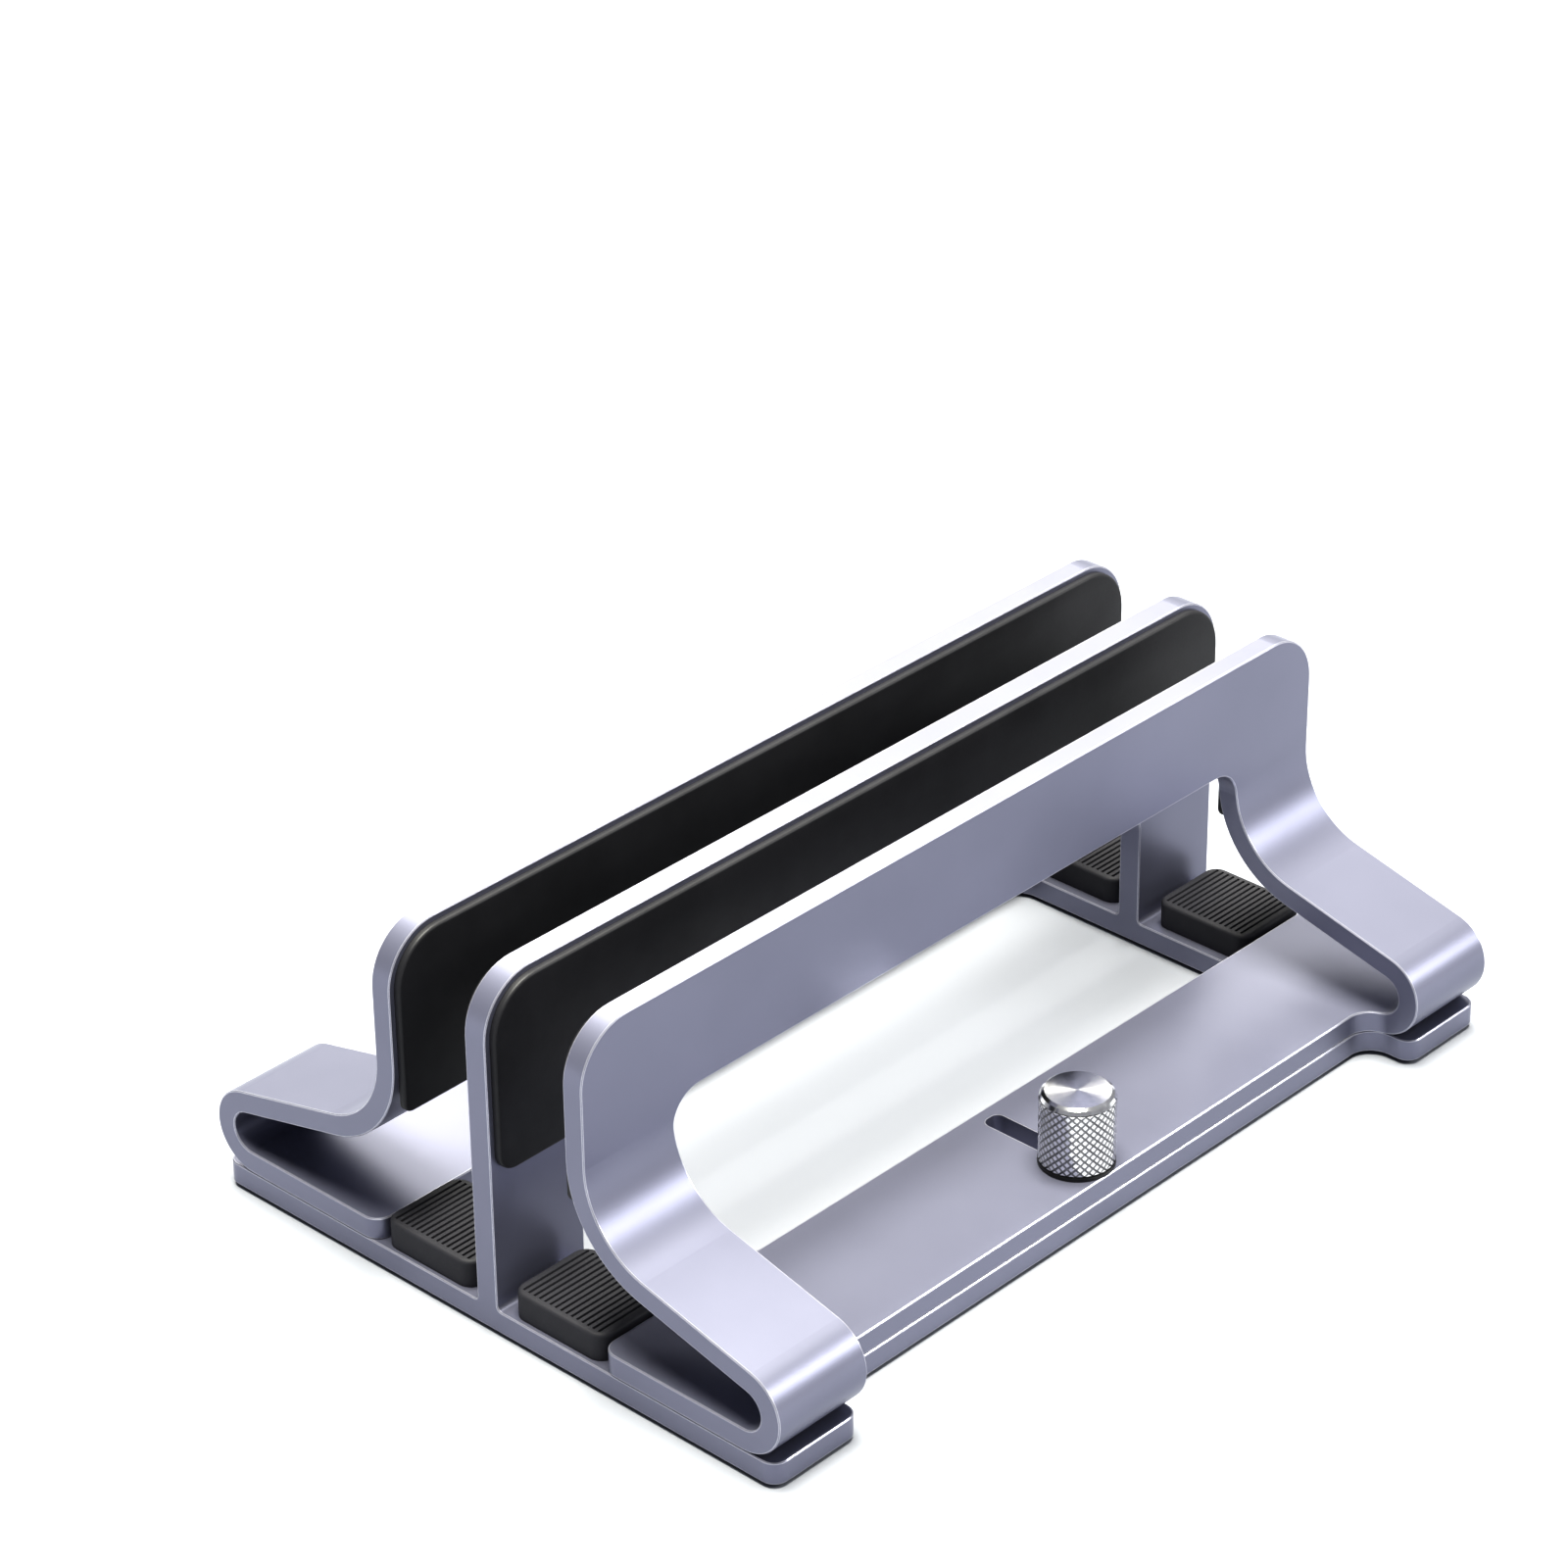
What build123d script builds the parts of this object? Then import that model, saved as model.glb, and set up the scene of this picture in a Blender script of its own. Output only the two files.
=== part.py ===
from build123d import *
import math
import os

# All sizes are in millimetres. X runs across the stand, Y along its walls, Z up from the desk.

# Whole stand
stand_length = 200.0
wall_height = 71.8       # top of the walls over the underside of the base
leg_length = 22.0        # solid stretch at each end of every window
wall_corner = 11.5       # rounding of the walls' top corners
edge_break = 0.2         # small chamfer along the metal edges

# Base plate
base_thick = 4.6
base_step = 0.2          # base beyond the brackets' lower plates, between the tabs
tab_width = 10.3         # how far a corner tab stands out
tab_step = 0.5           # end of a tab from the end of the windows
tab_corner = 3.0
tab_fillet = 5.0         # hollow curve where a tab meets the middle stretch
base_lap = 1.2           # bracket plate beyond the side of the base's window
base_window_corner = 5.0

# Centre wall
centre_thick = 5.0
centre_rail = 40.8       # solid band over its window
centre_window_corner = 5.0
wall_foot_fillet = 1.0   # where the wall rises from the base

# Folded brackets, as they stand closed
sheet_thick = 4.5
slot_gap = 19.0          # between the centre wall and a bracket's wall
hook_land = 3.05         # flat of the lower plate from its outer edge to the fold
hook_radius = 6.4        # middle of the sheet, in the lower fold
bend_radius = 19.9       # middle of the sheet, where the slope turns up into the wall
slope_angle = 14.0       # fall of the slope
bracket_rail = 22.5      # solid band over its window
bracket_window_corner = 6.5
plate_fillet = 5.0       # hollow curve where the plate's edge meets a fold
plate_corner = 3.5

# Clamp slot in the lower plate
slide_travel = 19.0
slot_width = 4.4
slot_corner = 1.7
slot_land = 2.7          # from the plate's inner edge to the slot

# Thumb screws
stud_diameter = 4.0
stud_chamfer = 0.5
thread_clearance = 0.05
stud_tip_gap = 0.4       # tip of the stud over the underside of the base
washer_diameter = 14.5
washer_thick = 0.8
washer_clearance = 0.2
washer_land = 0.05       # from the washer to the plate's outer edge
knob_diameter = 14.4
knob_height = 14.7
knob_cap = 5.7           # solid metal over the stud
knob_bevel = 1.0
knob_bevel_height = 1.15
knob_foot = 0.4          # chamfer round its underside

# Guide pins under the brackets, and their grooves in the base
guide_land = 15.2        # from the plate's inner edge to a pin's axis
pin_diameter = 4.0
pin_cover = 2.0          # sheet left over a pin
pin_tip_gap = 0.3
pin_chamfer = 0.3
guide_clearance = 0.1
groove_floor = 1.1       # base left between a groove and a foot

# Pads on the walls
pad_thick = 1.4
pad_inset = 1.2          # from the wall's outline
pad_edge = 0.45          # bevel round its face
centre_pad_corner = 4.0  # at the lower edge
centre_pad_margin = 2.3  # over the centre wall's window
window_margin = 1.6      # round the bracket's window
bracket_pad_corner = 2.0
bracket_pad_drop = 36.4  # lower edge of a bracket's pad below the top of the wall

# Ribbed rest blocks
rest_setback = 2.65      # from the centre wall
rest_clearance = 0.55    # to the bracket's lower plate
rest_height = 5.6
rest_inset = 1.0         # from the end of the base
rest_back = 2.2          # from the base's window
rest_corner = 3.0
rest_edge = 0.65         # bevel round its top
rib_count = 16
rib_pitch = 1.33
groove_width = 0.8       # between two ribs, at the top
groove_depth = 0.5
groove_slant = 65.0      # slope of a groove's sides
rib_margin = 1.3         # plain band at each end of the ribs

# Feet
foot_length = 30.0
foot_width = 12.0
foot_proud = 0.8
foot_recess = 0.8
foot_margin = 3.0        # from the outer side of a tab
foot_edge = 0.3

# Heights that follow from the sizes above
base_bottom = foot_proud
base_top = base_bottom + base_thick
plate_top = base_top + sheet_thick
sheet_middle = base_top + sheet_thick / 2
hook_middle = sheet_middle + hook_radius
wall_top = base_bottom + wall_height
centre_window_top = wall_top - centre_rail
bracket_window_top = wall_top - bracket_rail
washer_top = plate_top + washer_thick
stud_bottom = base_bottom + stud_tip_gap
stud_top = washer_top + knob_height - knob_cap
groove_bottom = base_bottom + foot_recess + groove_floor
pin_bottom = groove_bottom + pin_tip_gap
pin_top = plate_top - pin_cover

# Places along the walls, from the middle
half_length = stand_length / 2
window_half = half_length - leg_length
leg_middle = half_length - leg_length / 2
rest_length = leg_length - rest_inset - rest_back
rest_middle = window_half + rest_back + rest_length / 2

# Places across the stand, from the middle outwards
centre_side = centre_thick / 2
bracket_inner = centre_side + slot_gap
rest_width = rib_count * rib_pitch + 2 * rest_edge
rest_across = centre_side + rest_setback + rest_width / 2
plate_inner = rest_across + rest_width / 2 + rest_clearance
base_window_side = plate_inner + base_lap
slot_inner = plate_inner + slot_land
screw_x = slot_inner + slot_width / 2 + slide_travel
guide_x = plate_inner + guide_land
plate_edge = screw_x + washer_diameter / 2 + washer_land
base_side = plate_edge + base_step
tab_side = base_side + tab_width
foot_x = tab_side - foot_margin - foot_length / 2
hook_x = plate_edge + hook_land
bracket_reach = hook_x + hook_radius + sheet_thick / 2


def slab(outline, start, thick):
    """An outline drawn in X and Y, made solid upwards from a height."""
    return extrude(Pos(0, 0, start) * outline, thick)


def along(outline, depth):
    """An outline drawn in X and Z, made solid along Y, centred on the stand."""
    return extrude(Plane.XZ * outline, depth / 2, both=True)


def across(outline, start, thick):
    """An outline drawn in Y and Z, made solid towards +X from a place."""
    return extrude(Plane.YZ.offset(start) * outline, thick)


def rod(diameter, bottom, top):
    """Upright round rod on the Z axis."""
    return slab(Circle(diameter / 2), bottom, top - bottom)


def mirrored(shape):
    return mirror(shape, about=Plane.YZ)


def sharp_edges(solid):
    """Edges where two faces meet at a corner, without the seams of smooth bends."""
    faces = solid.faces()
    corners = ShapeList()
    for edge in solid.edges():
        middle = edge @ 0.5
        normals = [face.normal_at(middle) for face in faces if edge in face.edges()]
        if normals[0].get_angle(normals[1]) > 45:
            corners.append(edge)
    return corners


def edges_at(solid, axis, place):
    """Edges whose middle lies at a place along an axis."""
    return solid.edges().filter_by_position(axis, place - 0.01, place + 0.01)


def arch(width, bottom, top, corner):
    """Upright rectangle whose two top corners are rounded."""
    face = Pos(0, (bottom + top) / 2) * Rectangle(width, top - bottom)
    return fillet(face.vertices().group_by(Axis.Y)[-1], corner)


def base_outline():
    """Plate with a tab at each corner: one half is drawn, then mirrored."""
    tab_end = window_half + tab_step
    points = [(0, half_length), (tab_side, half_length), (tab_side, tab_end), (base_side, tab_end)]
    lower = [(x, -y) for x, y in reversed(points)]
    half = make_face(Polyline(*points, *lower, close=True))
    half = fillet(half.vertices().group_by(Axis.X)[-1], tab_corner)
    half = fillet(half.vertices().filter_by_position(Axis.X, base_side - 0.01, base_side + 0.01), tab_fillet)
    return half + mirror(half, about=Plane.YZ)


def guide_groove():
    """Blind groove for a guide pin, with its inner end at the pin's place."""
    run = SlotCenterToCenter(slide_travel, pin_diameter + 2 * guide_clearance)
    return Pos(guide_x + slide_travel / 2) * slab(run, groove_bottom, base_top - groove_bottom)


def foot():
    """Flat silicone foot, set into the underside of the base."""
    return Pos(foot_x) * slab(SlotOverall(foot_length, foot_width), 0, foot_proud + foot_recess)


def base_frame():
    """Base plate and centre wall, one piece."""
    plate = slab(base_outline(), base_bottom, base_thick)
    opening = RectangleRounded(2 * base_window_side, 2 * window_half, base_window_corner)
    plate -= slab(opening, base_bottom, base_thick)
    wall = across(arch(stand_length, base_bottom, wall_top, wall_corner), -centre_side, centre_thick)
    gap = arch(2 * window_half, base_bottom, centre_window_top, centre_window_corner)
    wall -= across(gap, -centre_side, centre_thick)
    frame = plate + wall
    lines = edges_at(frame, Axis.Z, base_top).filter_by(Axis.Y)
    wall_foot = lines.filter_by_position(Axis.X, -centre_side - 0.01, centre_side + 0.01)
    frame = fillet(wall_foot, wall_foot_fillet)
    frame = chamfer(sharp_edges(frame), edge_break)
    cuts = Pos(screw_x) * rod(stud_diameter + 2 * thread_clearance, base_bottom, base_top)
    for end in (-1, 1):
        cuts += Pos(0, end * leg_middle) * (guide_groove() + foot())
    return frame - cuts - mirrored(cuts)


def sheet_face(side):
    """One face of the folded sheet: plate, hook, slope, bend and wall, as a run of tangent lines."""
    shift = side * sheet_thick / 2
    turn = 180 - slope_angle
    wall_middle = bracket_inner + sheet_thick / 2
    sine = math.sin(math.radians(turn))
    cosine = math.cos(math.radians(turn))
    slope_length = (wall_middle - hook_x - hook_radius * sine - bend_radius * (sine - 1)) / cosine
    plate = Line((plate_inner, sheet_middle + shift), (hook_x, sheet_middle + shift))
    hook = JernArc(plate @ 1, (1, 0), hook_radius - shift, turn)
    slope = PolarLine(hook @ 1, slope_length, turn)
    bend = JernArc(slope @ 1, slope % 1, bend_radius + shift, slope_angle - 90)
    wall = Line(bend @ 1, (wall_middle - shift, wall_top))
    return [plate, hook, slope, bend, wall]


def bracket():
    """Right bracket, folded from one plate: lower plate, hook, slope and wall."""
    inner = sheet_face(1)
    outer = sheet_face(-1)
    ends = [Line(inner[0] @ 0, outer[0] @ 0), Line(inner[-1] @ 1, outer[-1] @ 1)]
    sheet = along(make_face([*inner, *outer, *ends]), stand_length)
    sheet = fillet(sheet.edges().filter_by(Axis.X).group_by(Axis.Z)[-1], wall_corner)
    sheet = fillet(edges_at(sheet, Axis.X, plate_inner).filter_by(Axis.Z), plate_corner)
    gap = arch(2 * window_half, hook_middle, bracket_window_top, bracket_window_corner)
    sheet -= across(gap, 0, bracket_reach)
    beyond = Pos(plate_edge + bracket_reach / 2) * Rectangle(bracket_reach, 2 * window_half)
    beyond = fillet(beyond.vertices().group_by(Axis.X)[0], plate_fillet)
    sheet -= slab(beyond, base_top, hook_middle - base_top)
    sheet = chamfer(sharp_edges(sheet), edge_break)
    slot_outer = screw_x + slot_width / 2
    slot = Rectangle(slot_outer - slot_inner, slot_width)
    slot = Pos((slot_inner + slot_outer) / 2) * fillet(slot.vertices(), slot_corner)
    sheet -= slab(slot, base_top, sheet_thick)
    for end in (-1, 1):
        sheet -= Pos(0, end * leg_middle) * guide_pin(0)
    return sheet


def guide_pin(tip_chamfer=pin_chamfer):
    """Pin pressed into the underside of the bracket, running in the base's groove."""
    pin = rod(pin_diameter, pin_bottom, pin_top)
    if tip_chamfer:
        pin = chamfer(edges_at(pin, Axis.Z, pin_bottom), tip_chamfer)
    return Pos(guide_x) * pin


def wall_pad(outline, start, face):
    """Silicone pad cut to an outline, with a bevel round the side that faces the slot."""
    pad = across(outline, start, pad_thick)
    return chamfer(edges_at(pad, Axis.X, face), pad_edge)


def pad_outline(bottom, corner):
    """The wall's outline, set in, down to a lower edge with rounded corners."""
    face = arch(2 * (half_length - pad_inset), bottom, wall_top - pad_inset, wall_corner - pad_inset)
    return fillet(face.vertices().group_by(Axis.Y)[0], corner)


def centre_pad():
    """Pad on the right side of the centre wall."""
    outline = pad_outline(centre_window_top + centre_pad_margin, centre_pad_corner)
    return wall_pad(outline, centre_side, centre_side + pad_thick)


def bracket_pad():
    """Pad on the right bracket's wall, with a leg down each side of the window."""
    bottom = wall_top - bracket_pad_drop
    corner = bracket_window_corner + window_margin
    gap = arch(2 * (window_half + window_margin), bottom, bracket_window_top + window_margin, corner)
    outline = pad_outline(bottom, bracket_pad_corner) - gap
    inner_corners = outline.vertices().group_by(Axis.Y)[0].filter_by_position(
        Axis.X, -window_half - 2 * window_margin, window_half + 2 * window_margin)
    outline = fillet(inner_corners, bracket_pad_corner)
    start = bracket_inner - pad_thick
    return wall_pad(outline, start, start)


def rest_block():
    """Silicone block that carries the laptop, ribbed along its top."""
    top = base_top + rest_height
    block = slab(RectangleRounded(rest_width, rest_length, rest_corner), base_top, rest_height)
    block = chamfer(edges_at(block, Axis.Z, top), rest_edge)
    groove = Pos(0, top) * Rot(0, 0, 180) * Trapezoid(groove_width, groove_depth, groove_slant, align=(
        Align.CENTER, Align.MIN))
    grooves = Sketch() + [spot * groove for spot in GridLocations(rib_pitch, 0, rib_count - 1, 1)]
    block -= along(grooves, rest_length - 2 * rib_margin)
    return Pos(rest_across, rest_middle) * block


def washer():
    """Thin black washer between the knob and the bracket."""
    ring = rod(washer_diameter, plate_top, washer_top)
    hole = rod(stud_diameter + 2 * washer_clearance, plate_top, washer_top)
    return Pos(screw_x) * (ring - hole)


def stud():
    """Threaded stud, held in the knob and screwed into the base."""
    shank = rod(stud_diameter, stud_bottom, stud_top)
    return Pos(screw_x) * chamfer(edges_at(shank, Axis.Z, stud_bottom), stud_chamfer)


def knob():
    """Turned knob with a wide bevel round its top and a blind bore for the stud."""
    radius = knob_diameter / 2
    top = washer_top + knob_height
    half = Polyline(
        (0, washer_top), (radius - knob_foot, washer_top), (radius, washer_top + knob_foot),
        (radius, top - knob_bevel_height), (radius - knob_bevel, top), (0, top), close=True)
    body = revolve(Plane.XZ * make_face(half), Axis.Z)
    return Pos(screw_x) * (body - rod(stud_diameter, washer_top, stud_top))


def finished_foot():
    pad = foot()
    return chamfer(edges_at(pad, Axis.Z, 0), foot_edge)


def save(name, shape):
    export_step(shape, f"parts/{name}.step")


def save_pair(name, shape):
    """The right-hand piece and its mirror image on the left."""
    save(f"right_{name}", shape)
    save(f"left_{name}", mirrored(shape))


def save_corners(name, shape):
    """The rear right piece, and its copies at the other three corners."""
    for end, end_name in ((1, "rear"), (-1, "front")):
        copy = shape if end > 0 else mirror(shape, about=Plane.XZ)
        save(f"{end_name}_right_{name}", copy)
        save(f"{end_name}_left_{name}", mirrored(copy))


os.makedirs("parts", exist_ok=True)
save("base_frame", base_frame())
save_pair("bracket", bracket())
save_pair("bracket_pad", bracket_pad())
save_pair("centre_pad", centre_pad())
save_pair("knob", knob())
save_pair("stud", stud())
save_pair("washer", washer())
save_corners("rest_block", rest_block())
save_corners("guide_pin", Pos(0, leg_middle) * guide_pin())
save_corners("foot", Pos(0, leg_middle) * finished_foot())
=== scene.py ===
import math
import bmesh
import bpy
from mathutils import Matrix, Vector


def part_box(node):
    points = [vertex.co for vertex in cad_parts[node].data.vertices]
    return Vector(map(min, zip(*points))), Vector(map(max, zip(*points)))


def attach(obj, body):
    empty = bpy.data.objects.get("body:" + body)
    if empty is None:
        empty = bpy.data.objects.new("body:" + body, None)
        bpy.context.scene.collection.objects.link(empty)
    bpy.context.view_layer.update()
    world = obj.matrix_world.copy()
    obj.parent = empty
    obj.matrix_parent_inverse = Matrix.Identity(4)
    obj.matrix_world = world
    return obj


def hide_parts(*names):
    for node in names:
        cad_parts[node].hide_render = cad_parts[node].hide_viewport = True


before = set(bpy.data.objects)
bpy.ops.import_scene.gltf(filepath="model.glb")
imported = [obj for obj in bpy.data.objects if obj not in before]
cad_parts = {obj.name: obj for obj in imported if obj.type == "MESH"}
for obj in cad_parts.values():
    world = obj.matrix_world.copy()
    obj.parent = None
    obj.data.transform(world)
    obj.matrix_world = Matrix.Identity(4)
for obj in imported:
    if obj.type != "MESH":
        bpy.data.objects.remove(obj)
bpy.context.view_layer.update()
print("Frame loaded:", len(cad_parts), "nodes")

mm = 0.001           # new pieces are drawn in millimetres and scaled to metres at the end
touch = 0.001        # places closer than this, in mm, count as one
mergeGap = 0.0005    # doubles merged after mirroring, in mm
cutGap = 0.0001      # snapping distance of a cut, in mm
levelNormal = 0.99   # normal's Z from which a face counts as level
plainSharpAngle = 35
sides = {"right": 1, "left": -1}
ends = {"rear": 1, "front": -1}


def boxOf(node):
    low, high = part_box(node)
    return low / mm, high / mm


def edgesAt(shape, axis, place):
    # Edges that lie in one plane across X (0), Y (1) or Z (2)
    return [edge for edge in shape.edges
        if all(abs(vert.co[axis] - place) < touch for vert in edge.verts)]


def sharpen(shape, limit):
    # Smooth shading, broken along edges that turn by more than the limit
    for face in shape.faces:
        face.smooth = True
    for edge in shape.edges:
        edge.smooth = len(edge.link_faces) == 2 and edge.calc_face_angle(0) < math.radians(limit)


def flip(shape, sideX, sideY=1):
    # Mirrors a right-hand, rear piece to its own corner
    bmesh.ops.scale(shape, vec=(sideX, sideY, 1), verts=shape.verts)
    bmesh.ops.remove_doubles(shape, verts=shape.verts, dist=mergeGap)
    bmesh.ops.recalc_face_normals(shape, faces=shape.faces)


def finishPiece(name, shape, materials, body, node, sharpAngle=plainSharpAngle):
    sharpen(shape, sharpAngle)
    bmesh.ops.scale(shape, vec=(mm, mm, mm), verts=shape.verts)
    mesh = bpy.data.meshes.new(name)
    shape.to_mesh(mesh)
    shape.free()
    for material in materials:
        mesh.materials.append(material)
    piece = bpy.data.objects.new(name, mesh)
    bpy.context.scene.collection.objects.link(piece)
    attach(piece, body)
    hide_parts(node)
    return piece


def cornerPieces(kind, makeShape, material, sharpAngle=plainSharpAngle):
    # The same piece in all four corners of the stand
    for endName, end in ends.items():
        for sideName, side in sides.items():
            node = f"{endName}_{sideName}_{kind}"
            shape = makeShape(*boxOf(f"rear_right_{kind}"))
            flip(shape, side, end)
            finishPiece(f"{node}_rubber", shape, [material], "stand", node, sharpAngle)


def flatFace(corners, plane, place):
    # A few vertices and their face, drawn in one plane
    shape = bmesh.new()
    for a, b in corners:
        spot = {"XY": (a, b, place), "YZ": (place, a, b)}[plane]
        shape.verts.new(spot)
    shape.faces.new(shape.verts)
    return shape


def thicken(shape, step):
    # Extrudes the only face by a step and closes the other side
    made = bmesh.ops.extrude_face_region(shape, geom=shape.faces[:], use_keep_orig=True)
    moved = [item for item in made["geom"] if isinstance(item, bmesh.types.BMVert)]
    bmesh.ops.translate(shape, vec=step, verts=moved)
    bmesh.ops.recalc_face_normals(shape, faces=shape.faces)


def roundOff(shape, geometry, width, segments, affect="EDGES"):
    bmesh.ops.bevel(shape, geom=geometry, offset=width, offset_type="OFFSET", segments=segments,
        profile=0.5, affect=affect, clamp_overlap=True, material=-1)


def newMaterial(name):
    material = bpy.data.materials.new(name)
    material.use_nodes = True
    nodes = material.node_tree.nodes
    links = material.node_tree.links
    return material, nodes, links, nodes["Principled BSDF"]


def noiseNode(nodes, links, scale, detail, roughness):
    place = nodes.new("ShaderNodeTexCoord")
    noise = nodes.new("ShaderNodeTexNoise")
    noise.inputs["Scale"].default_value = scale
    noise.inputs["Detail"].default_value = detail
    noise.inputs["Roughness"].default_value = roughness
    links.new(place.outputs["Object"], noise.inputs["Vector"])
    return noise.outputs["Fac"]


rampSpan = (0.3, 0.7)    # part of a noise pattern over which one colour goes into the other


def twoColours(nodes, links, pattern, dark, light):
    ramp = nodes.new("ShaderNodeValToRGB")
    for element, place, colour in zip(ramp.color_ramp.elements, rampSpan, (dark, light)):
        element.position = place
        element.color = (*colour, 1)
    links.new(pattern, ramp.inputs["Fac"])
    return ramp.outputs["Color"]


def ranged(nodes, links, pattern, low, high):
    scaled = nodes.new("ShaderNodeMapRange")
    scaled.inputs["To Min"].default_value = low
    scaled.inputs["To Max"].default_value = high
    links.new(pattern, scaled.inputs["Value"])
    return scaled.outputs["Result"]


def addBump(nodes, links, shader, pattern, distance, strength):
    bump = nodes.new("ShaderNodeBump")
    bump.inputs["Strength"].default_value = strength
    bump.inputs["Distance"].default_value = distance
    links.new(pattern, bump.inputs["Height"])
    links.new(bump.outputs["Normal"], shader.inputs["Normal"])


def edgeMask(nodes, links, width, turn, samples):
    # 1 along the edges that turn sharply and 0 on flat and gently bent faces
    rounded = nodes.new("ShaderNodeBevel")
    rounded.samples = samples
    rounded.inputs["Radius"].default_value = width
    geometry = nodes.new("ShaderNodeNewGeometry")
    match = nodes.new("ShaderNodeVectorMath")
    match.operation = "DOT_PRODUCT"
    links.new(rounded.outputs["Normal"], match.inputs[0])
    links.new(geometry.outputs["Normal"], match.inputs[1])
    mask = nodes.new("ShaderNodeMapRange")
    mask.inputs["From Min"].default_value, mask.inputs["From Max"].default_value = turn
    links.new(match.outputs["Value"], mask.inputs["Value"])
    return mask.outputs["Result"]


def mixed(nodes, links, factor, plain, other, kind="RGBA"):
    # Goes from the plain value to the other one where the factor is 1
    mix = nodes.new("ShaderNodeMix")
    mix.data_type = kind
    first, second, result = {"RGBA": (6, 7, 2), "FLOAT": (2, 3, 0)}[kind]
    links.new(factor, mix.inputs[0])
    links.new(plain, mix.inputs[first])
    mix.inputs[second].default_value = other
    return mix.outputs[result]


# Clouds and grain are noise patterns, given by scale, detail and roughness
anodisedLook = {
    "dark": (0.180, 0.184, 0.242),
    "light": (0.202, 0.206, 0.270),
    "clouds": (22.0, 3.0, 0.55),
    "grain": (5200.0, 2.0, 0.6),
    "grainDepth": 0.000012,
    "grainStrength": 0.5,
    "roughness": (0.33, 0.41),
    "metallic": 0.62,
    "edgeWidth": 0.00025,
    "edgeTurn": (0.995, 0.955),    # cosines between which an edge goes from plain to bright
    "edgeSamples": 6,
    "edgeColour": (0.62, 0.62, 0.68, 1.0),
    "edgeRoughness": 0.28,
}


def anodisedMaterial(name, look):
    material, nodes, links, shader = newMaterial(name)
    edges = edgeMask(nodes, links, look["edgeWidth"], look["edgeTurn"], look["edgeSamples"])
    clouds = noiseNode(nodes, links, *look["clouds"])
    colour = twoColours(nodes, links, clouds, look["dark"], look["light"])
    bright = mixed(nodes, links, edges, colour, look["edgeColour"])
    links.new(bright, shader.inputs["Base Color"])
    grain = noiseNode(nodes, links, *look["grain"])
    gloss = ranged(nodes, links, grain, *look["roughness"])
    polish = mixed(nodes, links, edges, gloss, look["edgeRoughness"], "FLOAT")
    links.new(polish, shader.inputs["Roughness"])
    addBump(nodes, links, shader, grain, look["grainDepth"], look["grainStrength"])
    shader.inputs["Metallic"].default_value = look["metallic"]
    return material


siliconeClouds = (60.0, 4.0, 0.6)
siliconeGrainStrength = 0.6
siliconeLooks = {
    "wallPadSilicone": {"dark": (0.018, 0.018, 0.021), "light": (0.026, 0.026, 0.030),
        "roughness": (0.42, 0.55), "specular": 0.3, "grain": (3200.0, 3.0, 0.6), "grainDepth": 0.00003},
    "restSilicone": {"dark": (0.024, 0.024, 0.029), "light": (0.033, 0.033, 0.040),
        "roughness": (0.55, 0.68), "specular": 0.3, "grain": (3600.0, 3.0, 0.6), "grainDepth": 0.00003},
    "footSilicone": {"dark": (0.022, 0.022, 0.023), "light": (0.032, 0.032, 0.033),
        "roughness": (0.6, 0.75), "specular": 0.3, "grain": (2600.0, 3.0, 0.6), "grainDepth": 0.00004},
    "washerNylon": {"dark": (0.008, 0.008, 0.009), "light": (0.014, 0.014, 0.015),
        "roughness": (0.35, 0.5), "specular": 0.4, "grain": (2600.0, 3.0, 0.6), "grainDepth": 0.00002},
}


def siliconeMaterial(name, look):
    material, nodes, links, shader = newMaterial(name)
    clouds = noiseNode(nodes, links, *siliconeClouds)
    links.new(twoColours(nodes, links, clouds, look["dark"], look["light"]), shader.inputs["Base Color"])
    grain = noiseNode(nodes, links, *look["grain"])
    links.new(ranged(nodes, links, grain, *look["roughness"]), shader.inputs["Roughness"])
    addBump(nodes, links, shader, grain, look["grainDepth"], siliconeGrainStrength)
    shader.inputs["Specular IOR Level"].default_value = look["specular"]
    return material


turnedStreaks = (900.0, 3.0, 0.6)
turnedBump = {"depth": 0.000004, "strength": 0.4}
turnedLooks = {
    "knurledMetal": {"dark": (0.78, 0.78, 0.79), "light": (0.90, 0.90, 0.91),
        "roughness": (0.10, 0.17), "anisotropy": 0.0},
    # Darker copy of the knob metal for the knurl's grooves: painted shade between the diamonds
    "knurlGroovePaintedShade": {"dark": (0.46, 0.46, 0.47), "light": (0.54, 0.54, 0.55),
        "roughness": (0.20, 0.28), "anisotropy": 0.0},
    "spunMetal": {"dark": (0.66, 0.66, 0.67), "light": (0.78, 0.78, 0.79),
        "roughness": (0.18, 0.26), "anisotropy": 0.9},
    "studSteel": {"dark": (0.36, 0.36, 0.37), "light": (0.48, 0.48, 0.49),
        "roughness": (0.25, 0.35), "anisotropy": 0.0},
    "pinSteel": {"dark": (0.50, 0.50, 0.51), "light": (0.60, 0.60, 0.61),
        "roughness": (0.22, 0.3), "anisotropy": 0.0},
}


def turnedMaterial(name, look):
    material, nodes, links, shader = newMaterial(name)
    streaks = noiseNode(nodes, links, *turnedStreaks)
    links.new(twoColours(nodes, links, streaks, look["dark"], look["light"]), shader.inputs["Base Color"])
    links.new(ranged(nodes, links, streaks, *look["roughness"]), shader.inputs["Roughness"])
    addBump(nodes, links, shader, streaks, turnedBump["depth"], turnedBump["strength"])
    shader.inputs["Metallic"].default_value = 1.0
    if look["anisotropy"]:
        # Turning marks run round the knob's own axis
        shader.inputs["Anisotropic"].default_value = look["anisotropy"]
        tangent = nodes.new("ShaderNodeTangent")
        tangent.direction_type = "RADIAL"
        tangent.axis = "Z"
        links.new(tangent.outputs["Tangent"], shader.inputs["Tangent"])
    return material


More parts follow.
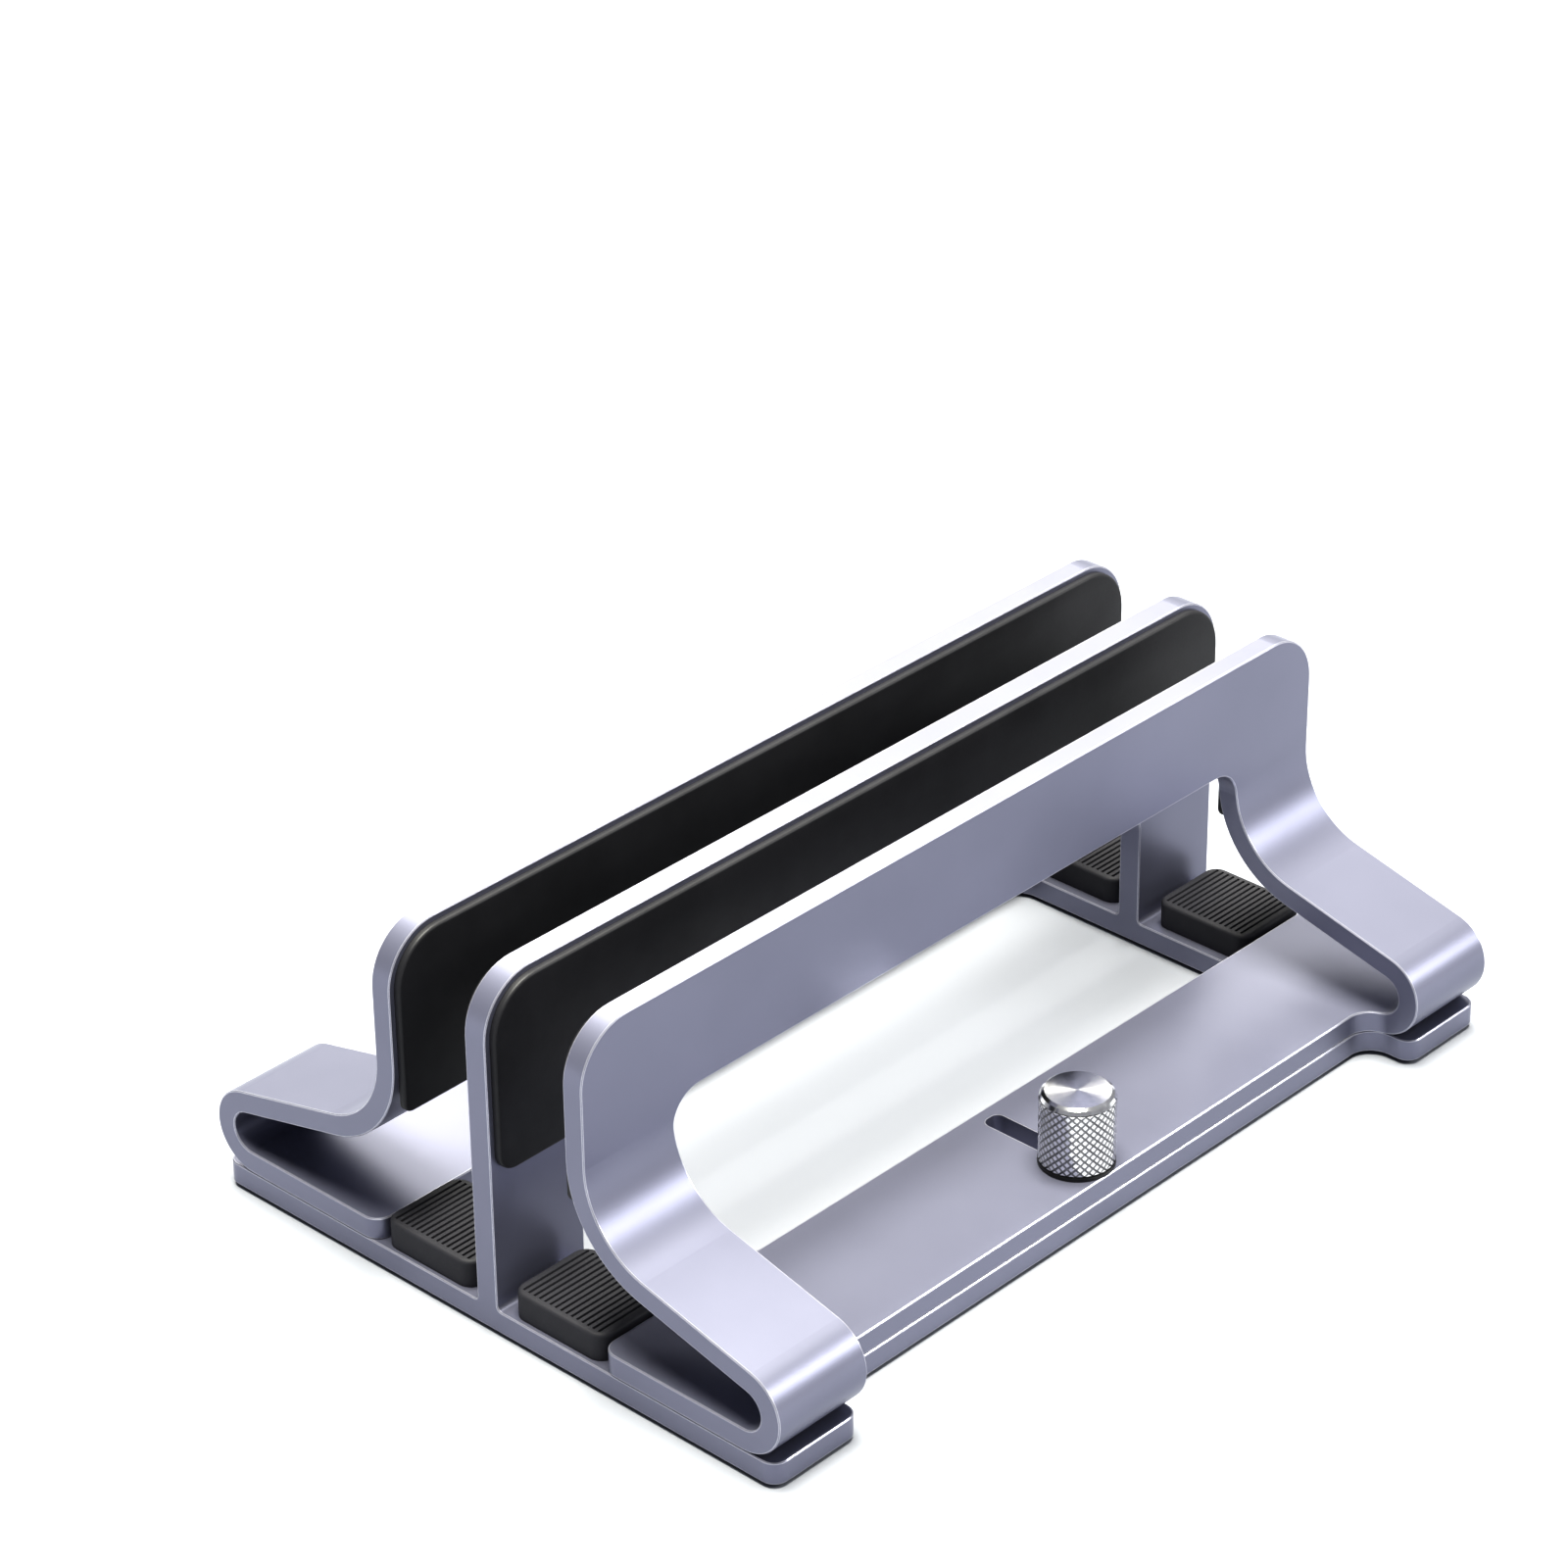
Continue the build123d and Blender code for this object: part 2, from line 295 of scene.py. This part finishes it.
anodised = anodisedMaterial("anodisedAluminium", anodisedLook)
rubbers = {name: siliconeMaterial(name, look) for name, look in siliconeLooks.items()}
metals = {name: turnedMaterial(name, look) for name, look in turnedLooks.items()}
print("Materials made")

# CAD nodes that keep their own shape
carriedOver = {"base_frame": anodised}
for sideName in sides:
    carriedOver[f"{sideName}_bracket"] = anodised
    carriedOver[f"{sideName}_washer"] = rubbers["washerNylon"]
    for endName in ends:
        carriedOver[f"{endName}_{sideName}_guide_pin"] = metals["pinSteel"]
for node, material in carriedOver.items():
    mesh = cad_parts[node].data
    mesh.materials.clear()
    mesh.materials.append(material)
print("CAD nodes dressed:", len(carriedOver))


wallPad = {"topCorner": 10.3, "centreLowCorner": 4.0, "bracketLowCorner": 2.0, "windowCorner": 8.1,
    "legWidth": 19.2, "windowTop": 51.7, "edgeRound": 0.6, "edgeSegments": 4, "cornerSegments": 10}


def padShape(low, high, onBracket):
    # The right-hand pad: its outline stands in Y and Z, and then gets the pad's thickness
    y, bottom, top = high.y, low.z, high.z
    gap, gapTop = y - wallPad["legWidth"], wallPad["windowTop"]
    window = [(-gap, bottom), (-gap, gapTop), (gap, gapTop), (gap, bottom)] if onBracket else []
    shape = flatFace([(-y, bottom), *window, (y, bottom), (y, top), (-y, top)], "YZ", low.x)
    lowCorner = wallPad["bracketLowCorner" if onBracket else "centreLowCorner"]
    radii = {bottom: lowCorner, top: wallPad["topCorner"], gapTop: wallPad["windowCorner"]}
    for height, radius in radii.items():
        corners = [vert for vert in shape.verts if abs(vert.co.z - height) < touch]
        if corners:
            roundOff(shape, corners, radius, wallPad["cornerSegments"], "VERTICES")
    thicken(shape, (high.x - low.x, 0, 0))

    # Only the rim on the slot's side is rounded
    rim = edgesAt(shape, 0, low.x if onBracket else high.x)
    roundOff(shape, rim, wallPad["edgeRound"], wallPad["edgeSegments"])
    return shape


for sideName, side in sides.items():
    for kind, body in (("centre_pad", "stand"), ("bracket_pad", f"{sideName}_slider")):
        node = f"{sideName}_{kind}"
        shape = padShape(*boxOf(f"right_{kind}"), kind == "bracket_pad")
        flip(shape, side)
        pad = finishPiece(f"{node}_rubber", shape, [rubbers["wallPadSilicone"]], body,
            node)
print("Wall pads made")


restBlock = {"corner": 3.0, "cornerSegments": 8, "edgeRound": 0.8, "edgeSegments": 4, "ribs": 16,
    "ribPitch": 1.33, "grooveWidth": 0.56, "grooveDepth": 0.45, "grooveNarrowing": 0.7,
    "ribMargin": 1.3, "sharpAngle": 25}


def topFaces(shape, top):
    return [face for face in shape.faces
        if face.normal.z > levelNormal and abs(face.calc_center_median().z - top) < touch]


def topGeometry(shape, top):
    # The top's faces with their edges and vertices, each once and always in the same order
    found = {}
    for face in topFaces(shape, top):
        found.update(dict.fromkeys([face, *face.edges, *face.verts]))
    return list(found)


def restShape(low, high):
    middle, half = (low + high) / 2, (high - low) / 2
    top = high.z
    outline = [(middle.x + a * half.x, middle.y + b * half.y)
        for a, b in ((-1, -1), (1, -1), (1, 1), (-1, 1))]
    shape = flatFace(outline, "XY", low.z)
    roundOff(shape, shape.verts[:], restBlock["corner"], restBlock["cornerSegments"], "VERTICES")
    thicken(shape, (0, 0, high.z - low.z))
    roundOff(shape, edgesAt(shape, 2, top), restBlock["edgeRound"], restBlock["edgeSegments"])

    # The top is cut along both sides and both ends of each groove
    grooveCount = restBlock["ribs"] - 1
    halfWidth = restBlock["grooveWidth"] / 2
    grooveEnd = half.y - restBlock["ribMargin"]
    places = [middle.x + (index - (grooveCount - 1) / 2) * restBlock["ribPitch"]
        for index in range(grooveCount)]
    cuts = [((place + way * halfWidth, 0, 0), (1, 0, 0)) for place in places for way in (-1, 1)]
    cuts += [((0, middle.y + way * grooveEnd, 0), (0, 1, 0)) for way in (-1, 1)]
    for spot, direction in cuts:
        bmesh.ops.bisect_plane(shape, geom=topGeometry(shape, top), dist=cutGap, plane_co=spot,
            plane_no=direction)

    # The strips between the cuts are pressed in
    strips = []
    for face in topFaces(shape, top):
        centre = face.calc_center_median()
        if abs(centre.y - middle.y) < grooveEnd:
            if any(abs(centre.x - place) < halfWidth for place in places):
                strips.append(face)
    made = bmesh.ops.extrude_discrete_faces(shape, faces=strips)
    for face in made["faces"]:
        centre = face.calc_center_median()
        bmesh.ops.translate(shape, vec=(0, 0, -restBlock["grooveDepth"]), verts=face.verts)
        bmesh.ops.scale(shape, vec=(restBlock["grooveNarrowing"], 1, 1), verts=face.verts,
            space=Matrix.Translation(-centre))
    return shape


cornerPieces("rest_block", restShape, rubbers["restSilicone"], restBlock["sharpAngle"])
print("Rest blocks made")


foot = {"segments": 64, "edgeRound": 0.3, "edgeSegments": 3}


def footShape(low, high):
    # A circle pulled apart into two half circles
    middle = (low + high) / 2
    radius = (high.y - low.y) / 2
    shift = (high.x - low.x) / 2 - radius
    shape = bmesh.new()
    bmesh.ops.create_circle(shape, cap_ends=True, segments=foot["segments"], radius=radius)
    for way in (-1, 1):
        half = [vert for vert in shape.verts if vert.co.x * way > touch]
        bmesh.ops.translate(shape, vec=(way * shift, 0, 0), verts=half)
    bmesh.ops.translate(shape, vec=(middle.x, middle.y, low.z), verts=shape.verts)
    thicken(shape, (0, 0, high.z - low.z))
    roundOff(shape, edgesAt(shape, 2, low.z), foot["edgeRound"], foot["edgeSegments"])
    return shape


cornerPieces("foot", footShape, rubbers["footSilicone"])
print("Feet made")


knob = {"diamonds": 28, "rows": 8, "diamondDepth": 0.36, "grooveHalf": 0.3, "footBand": 0.25,
    "topBand": 0.15, "bandInset": 0.06, "bevelWidth": 1.0, "bevelHeight": 1.15,
    "bevelMiddle": (0.4, 0.6), "spunRings": 16, "boreRadius": 2.01, "boreDepth": 9.0, "sharpAngle": 20}
# The third metal is the painted shade in the knurl's grooves
knobMetals = ["knurledMetal", "spunMetal", "knurlGroovePaintedShade"]


def outward(vert, radius):
    # The same height at another distance from the axis
    return Vector((vert.co.x, vert.co.y, 0)).normalized() * radius + Vector((0, 0, vert.co.z))


def ringAbove(shape, radius, height, loop):
    # Extrudes an open loop of edges to a ring of another radius and height
    made = bmesh.ops.extrude_edge_only(shape, edges=loop)
    for vert in [item for item in made["geom"] if isinstance(item, bmesh.types.BMVert)]:
        vert.co.z = height
        vert.co = outward(vert, radius)
    return [item for item in made["geom"] if isinstance(item, bmesh.types.BMEdge)
        and all(abs(vert.co.z - height) < touch for vert in item.verts) and item.is_boundary]


def knurledSide(shape, bottom, top, grooveRadius, radius):
    bmesh.ops.create_cone(shape, cap_ends=False, segments=knob["diamonds"], radius1=grooveRadius,
        radius2=grooveRadius, depth=top - bottom)
    uprights = [edge for edge in shape.edges if abs(edge.verts[0].co.z - edge.verts[1].co.z) > touch]
    bmesh.ops.subdivide_edges(shape, edges=uprights, cuts=knob["rows"] - 1, use_grid_fill=True)

    # Each square is cut along both diagonals, and its own edges go, so diamonds are left
    squareEdges = [edge for edge in shape.edges if not edge.is_boundary]
    bmesh.ops.poke(shape, faces=shape.faces[:])
    bmesh.ops.dissolve_edges(shape, edges=squareEdges, use_verts=False)
    valleys = set(shape.verts)
    bmesh.ops.inset_individual(shape, faces=shape.faces[:], thickness=knob["grooveHalf"])
    for vert in shape.verts:
        vert.co = outward(vert, grooveRadius if vert in valleys else radius)
    bmesh.ops.translate(shape, vec=(0, 0, (top + bottom) / 2), verts=shape.verts)
    # The faces that touch a valley form the grooves, which get painted shade
    return [face for face in shape.faces if valleys.intersection(face.verts)]


def knobShape(low, high):
    radius = (high.x - low.x) / 2
    grooveRadius = radius - knob["diamondDepth"]
    bottom = low.z + knob["footBand"]
    top = high.z - knob["bevelHeight"] - knob["topBand"]
    shape = bmesh.new()
    paintedShadeGrooveFaces = knurledSide(shape, bottom, top, grooveRadius, radius)

    # Cap: smooth band, bevel in two steps and spun rings to the middle
    bandTop = top + knob["topBand"]
    inShare, upShare = knob["bevelMiddle"]
    rimRadius = radius - knob["bevelWidth"]
    middle = (low.z + high.z) / 2
    loop = [edge for edge in shape.edges if edge.is_boundary and edge.verts[0].co.z > middle]
    loop = ringAbove(shape, radius - knob["bandInset"], bandTop, loop)
    loop = ringAbove(shape, radius - knob["bevelWidth"] * inShare,
        bandTop + knob["bevelHeight"] * upShare, loop)
    loop = ringAbove(shape, rimRadius, high.z, loop)
    sideFaces = set(shape.faces)
    for index in range(1, knob["spunRings"]):
        loop = ringAbove(shape, rimRadius * (1 - index / knob["spunRings"]), high.z, loop)
    bmesh.ops.edgeloop_fill(shape, edges=loop)
    capFaces = set(shape.faces) - sideFaces

    # Foot and the bore for the stud
    loop = [edge for edge in shape.edges if edge.is_boundary and edge.verts[0].co.z < middle]
    loop = ringAbove(shape, grooveRadius, low.z, loop)
    loop = ringAbove(shape, knob["boreRadius"], low.z, loop)
    loop = ringAbove(shape, knob["boreRadius"], low.z + knob["boreDepth"], loop)
    bmesh.ops.edgeloop_fill(shape, edges=loop)
    # The cap gets the spun metal, and the grooves a darker metal that is painted shade
    for faces, metal in ((capFaces, "spunMetal"), (paintedShadeGrooveFaces, "knurlGroovePaintedShade")):
        for face in faces:
            face.material_index = knobMetals.index(metal)
    bmesh.ops.translate(shape, vec=((low.x + high.x) / 2, 0, 0), verts=shape.verts)
    bmesh.ops.recalc_face_normals(shape, faces=shape.faces)
    return shape


thread = {"pitch": 0.7, "depth": 0.38, "steps": 24, "spareTurns": 2, "tipTaper": 0.6, "tipSize": 0.72,
    "sharpAngle": 25}


def studShape(low, high):
    radius = (high.x - low.x) / 2
    turns = math.ceil((high.z - low.z) / thread["pitch"]) + thread["spareTurns"]
    shape = bmesh.new()

    # One upright zigzag line, turned once round while it climbs by one pitch
    for index in range(2 * turns + 1):
        inset = thread["depth"] if index % 2 else 0
        height = low.z + (index / 2 - thread["spareTurns"]) * thread["pitch"]
        shape.verts.new((radius - inset, 0, height))
    shape.verts.ensure_lookup_table()
    for index in range(2 * turns):
        shape.edges.new((shape.verts[index], shape.verts[index + 1]))
    bmesh.ops.spin(shape, geom=shape.verts[:] + shape.edges[:], cent=(0, 0, 0), axis=(0, 0, 1),
        angle=2 * math.pi, dvec=(0, 0, thread["pitch"] / thread["steps"]), steps=thread["steps"],
        use_merge=False, use_duplicate=False)
    bmesh.ops.remove_doubles(shape, verts=shape.verts, dist=touch)

    # Both ends are cut level, and the tip is tapered
    for height, way in ((low.z, -1), (high.z, 1)):
        cut = bmesh.ops.bisect_plane(shape, geom=shape.verts[:] + shape.edges[:] + shape.faces[:],
            dist=cutGap, plane_co=(0, 0, height), plane_no=(0, 0, way), clear_outer=True)
        rim = [item for item in cut["geom_cut"] if isinstance(item, bmesh.types.BMEdge)]
        bmesh.ops.edgeloop_fill(shape, edges=rim)
    for vert in shape.verts:
        share = (vert.co.z - low.z) / thread["tipTaper"]
        if share < 1:
            shrink = thread["tipSize"] + (1 - thread["tipSize"]) * share
            vert.co.x *= shrink
            vert.co.y *= shrink
    bmesh.ops.translate(shape, vec=((low.x + high.x) / 2, 0, 0), verts=shape.verts)
    bmesh.ops.recalc_face_normals(shape, faces=shape.faces)
    return shape


# Both screws have the same right-hand thread, so neither is a mirror image
for sideName in sides:
    body = f"{sideName}_clamp_knob"
    node = f"{sideName}_knob"
    shape = knobShape(*boxOf(node))
    finishPiece(f"{node}_knurled", shape, [metals[name] for name in knobMetals], body,
        node, knob["sharpAngle"])
    node = f"{sideName}_stud"
    shape = studShape(*boxOf(node))
    finishPiece(f"{node}_threaded", shape, [metals["studSteel"]], body, node,
        thread["sharpAngle"])
print("Thumb screws made")


stage = {"floorSize": 8.0, "floorLight": (0.30, 0.31, 0.345), "floorDark": (0.285, 0.295, 0.33),
    "floorClouds": (3.0, 2.0, 0.5), "floorRoughness": 0.9, "floorSpecular": 0.1,
    "worldColour": (0.94, 0.95, 1.0), "worldStrength": 0.3, "lightTarget": (0, 0, 0.03)}

# A wide soft light straight overhead, the same all over the floor
overheadLight = {"strength": 9.6, "spread": 34.0, "colour": (1.0, 0.985, 0.88)}

softBoxes = {
    "keyBehindLeft": {"azimuth": 234.0, "elevation": 42.0, "distance": 1.5, "size": (1.1, 0.9),
        "radiance": 3.6, "colour": (1.0, 0.985, 0.88)},
    "rimBehindRight": {"azimuth": 132.0, "elevation": 28.0, "distance": 1.5, "size": (0.4, 0.5),
        "radiance": 12.0, "colour": (1.0, 1.0, 0.97)},
}


def makeFloor():
    bpy.ops.mesh.primitive_plane_add(size=stage["floorSize"])
    floor = bpy.context.object
    floor.name = "studioFloor"
    material, nodes, links, shader = newMaterial("paleFloor")
    clouds = noiseNode(nodes, links, *stage["floorClouds"])
    colour = twoColours(nodes, links, clouds, stage["floorDark"], stage["floorLight"])
    links.new(colour, shader.inputs["Base Color"])
    shader.inputs["Roughness"].default_value = stage["floorRoughness"]
    shader.inputs["Specular IOR Level"].default_value = stage["floorSpecular"]
    floor.data.materials.append(material)


def makeWorld():
    world = bpy.data.worlds.new("studioWorld")
    bpy.context.scene.world = world
    world.use_nodes = True
    background = world.node_tree.nodes["Background"]
    background.inputs["Color"].default_value = (*stage["worldColour"], 1)
    background.inputs["Strength"].default_value = stage["worldStrength"]


def makeOverheadLight():
    data = bpy.data.lights.new("overhead", "SUN")
    data.energy = overheadLight["strength"]
    data.angle = math.radians(overheadLight["spread"])
    data.color = overheadLight["colour"]
    bpy.context.scene.collection.objects.link(bpy.data.objects.new("overhead", data))


def fromAngles(azimuth, elevation):
    # Azimuth 0 is on the -Y side and 90 on the +X side
    a, e = math.radians(azimuth), math.radians(elevation)
    return Vector((math.sin(a) * math.cos(e), -math.cos(a) * math.cos(e), math.sin(e)))


def makeSoftBoxes():
    for name, box in softBoxes.items():
        data = bpy.data.lights.new(name, "AREA")
        data.shape = "RECTANGLE"
        data.size, data.size_y = box["size"]
        data.energy = box["radiance"] * math.pi * data.size * data.size_y
        data.color = box["colour"]
        light = bpy.data.objects.new(name, data)
        direction = fromAngles(box["azimuth"], box["elevation"])
        light.location = Vector(stage["lightTarget"]) + direction * box["distance"]
        light.rotation_euler = direction.to_track_quat("Z", "Y").to_euler()
        bpy.context.scene.collection.objects.link(light)


cameraView = {"place": (0.53252, -0.58464, 0.51942), "azimuth": 43.407, "elevation": 29.626,
    "roll": -0.738, "lens": 113.587, "sensor": 36.0}


def makeCamera():
    data = bpy.data.cameras.new("photoCamera")
    data.lens = cameraView["lens"]
    data.sensor_width = cameraView["sensor"]
    camera = bpy.data.objects.new("photoCamera", data)
    turn = Matrix.Rotation(math.radians(cameraView["azimuth"]), 4, "Z")
    turn @= Matrix.Rotation(math.radians(90 - cameraView["elevation"]), 4, "X")
    turn @= Matrix.Rotation(math.radians(cameraView["roll"]), 4, "Z")
    camera.matrix_world = Matrix.Translation(cameraView["place"]) @ turn
    bpy.context.scene.collection.objects.link(camera)
    bpy.context.scene.camera = camera


makeFloor()
makeWorld()
makeOverheadLight()
makeSoftBoxes()
makeCamera()
bpy.context.scene.view_settings.view_transform = "Standard"
bpy.context.scene.view_settings.look = "High Contrast"
print("Stage made")
